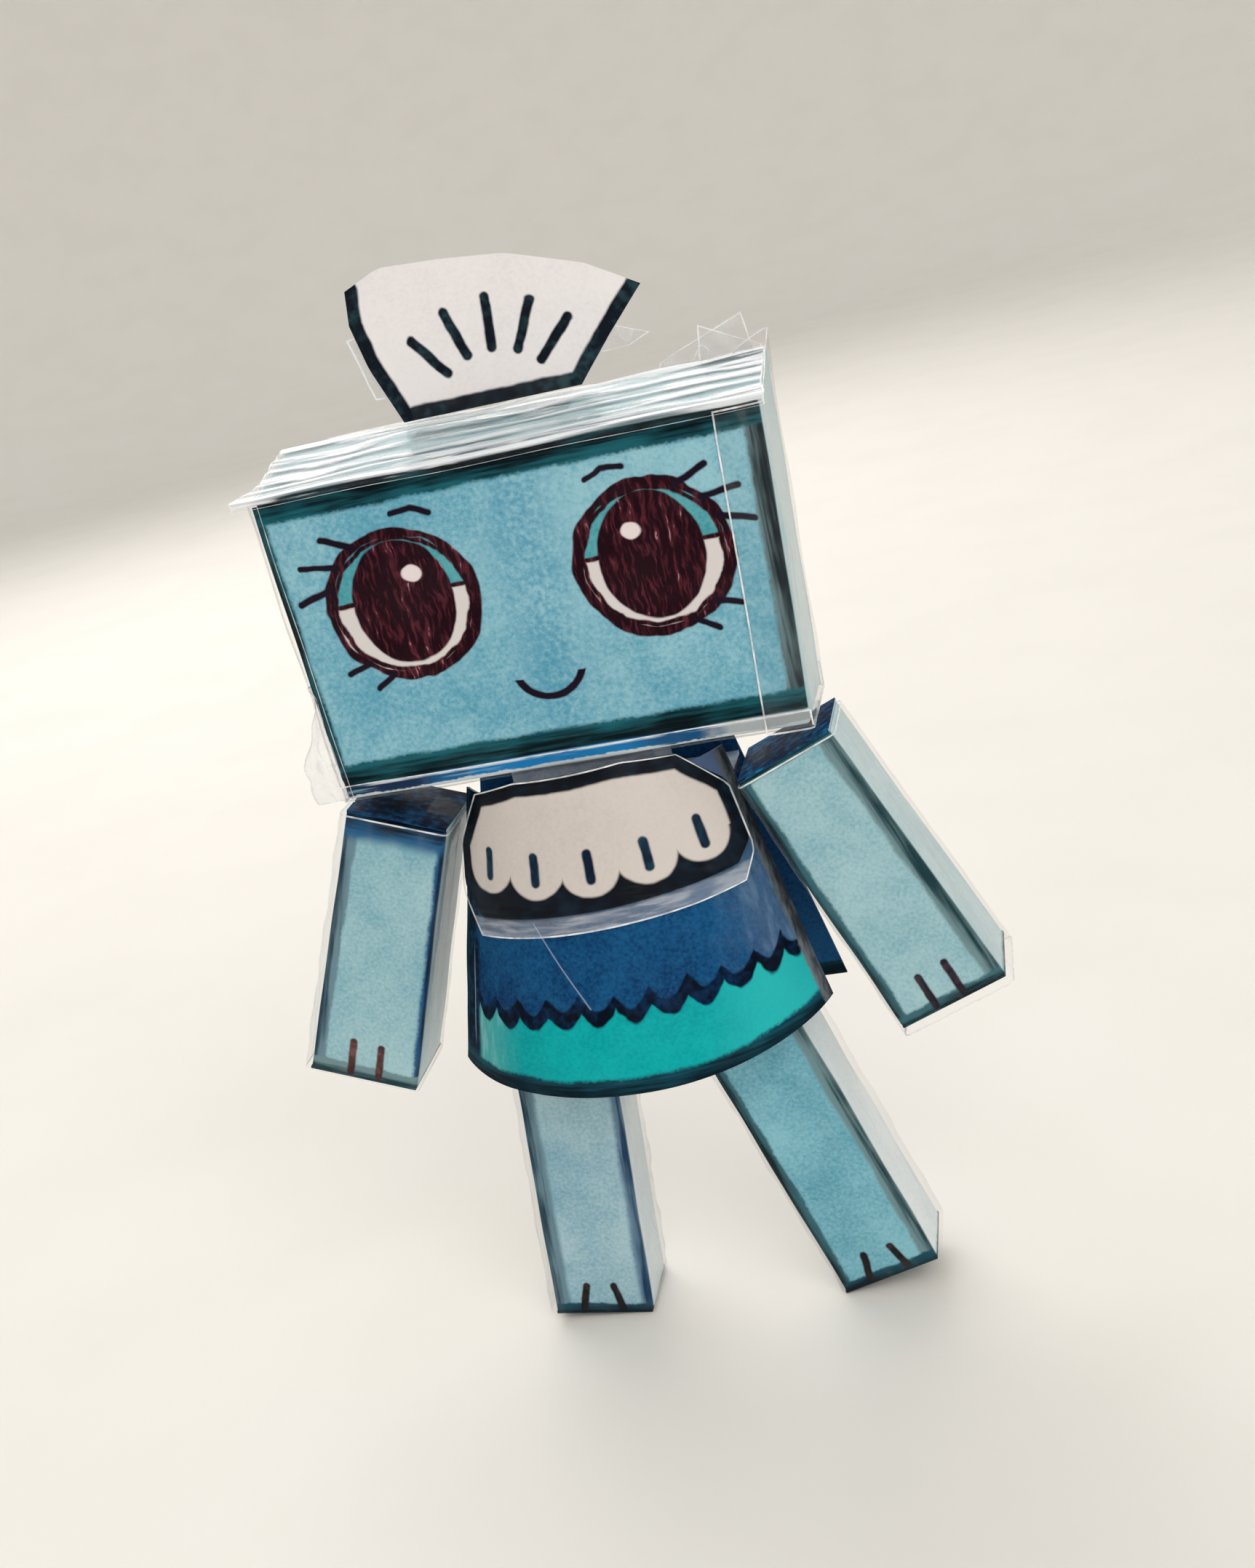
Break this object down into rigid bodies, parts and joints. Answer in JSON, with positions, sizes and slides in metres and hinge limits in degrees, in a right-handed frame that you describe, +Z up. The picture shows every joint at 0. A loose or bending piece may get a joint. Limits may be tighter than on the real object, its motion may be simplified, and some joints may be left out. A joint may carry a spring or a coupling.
{
  "type": "paper doll",
  "caption": "Standing doll of folded paper boxes and clear tape: wide box head with a fold-down paper fan, flared dress with a collar, and arms and legs that swing on tape hinges.",
  "frame": {"origin": "on the ground under the middle of the doll's outer box, between the feet", "axes": "+Z up, -Y out of the face, +X to the right as seen from the front"},
  "size_m": [0.092, 0.0272, 0.1402],
  "materials": {
    "face_paper": "coloured by hand, taped over",
    "arm_paper": "coloured by hand, taped over",
    "leg_paper": "coloured by hand, taped over",
    "dress_paper": "coloured by hand, taped over",
    "white_paper": "plain paper with ink lines",
    "inner_paper": "plain matte paper",
    "clear_tape": "clear glossy tape"
  },
  "bodies": {
    "torso": {"torso_box": "inner_paper", "shoulder_plate": "inner_paper", "hip_plate": "inner_paper", "neck_box": "inner_paper", "dress_front": "dress_paper", "dress_back": "dress_paper", "collar": "white_paper", "collar_tape": "clear_tape", "neck_tape": "clear_tape", "left_shoulder_tape": "clear_tape", "right_shoulder_tape": "clear_tape", "left_hip_tape": "clear_tape", "right_hip_tape": "clear_tape"},
    "head": {"head_tray": "face_paper", "head_back": "face_paper", "head_top_tape": "clear_tape", "head_bottom_tape": "clear_tape", "head_left_tape": "clear_tape", "head_right_tape": "clear_tape", "fan_tape": "clear_tape"},
    "headpiece": {"paper_fan": "white_paper"},
    "left_arm": {"left_arm_sleeve": "arm_paper", "left_shoulder_cap": "arm_paper", "left_hand_cap": "arm_paper", "left_arm_wrap": "clear_tape"},
    "left_leg": {"left_leg_sleeve": "leg_paper", "left_hip_cap": "leg_paper", "left_foot_sole": "leg_paper", "left_leg_wrap": "clear_tape"},
    "right_arm": {"right_arm_sleeve": "arm_paper", "right_shoulder_cap": "arm_paper", "right_hand_cap": "arm_paper", "right_arm_wrap": "clear_tape"},
    "right_leg": {"right_leg_sleeve": "leg_paper", "right_hip_cap": "leg_paper", "right_foot_sole": "leg_paper", "right_leg_wrap": "clear_tape"}
  },
  "joints": [
    {"name": "head_tilt", "type": "hinge", "parent": "torso", "child": "head", "pos_m": [0, 0.01318, 0.07881], "axis": [-1, 0, 0], "range_deg": [0, 10], "deforming": ["neck_tape"]},
    {"name": "fan_fold", "type": "hinge", "parent": "head", "child": "headpiece", "pos_m": [-0.0025, 0.01038, 0.12092], "axis": [1, 0, 0], "range_deg": [-60, 80], "deforming": ["fan_tape"]},
    {"name": "left_shoulder", "type": "hinge", "parent": "torso", "child": "left_arm", "pos_m": [-0.01784, 0.00588, 0.0725], "axis": [0, 1, 0], "range_deg": [-7.5, 5], "deforming": ["left_shoulder_tape"]},
    {"name": "right_shoulder", "type": "hinge", "parent": "torso", "child": "right_arm", "pos_m": [0.01784, 0.00588, 0.0725], "axis": [0, -1, 0], "range_deg": [-7.5, 5], "deforming": ["right_shoulder_tape"]},
    {"name": "left_hip", "type": "hinge", "parent": "torso", "child": "left_leg", "pos_m": [-0.018, 0.00518, 0.046], "axis": [0, 1, 0], "range_deg": [-5, 25], "deforming": ["left_hip_tape"]},
    {"name": "right_hip", "type": "hinge", "parent": "torso", "child": "right_leg", "pos_m": [0.018, 0.00518, 0.046], "axis": [0, -1, 0], "range_deg": [-17, 13], "deforming": ["right_hip_tape"]}
  ]
}
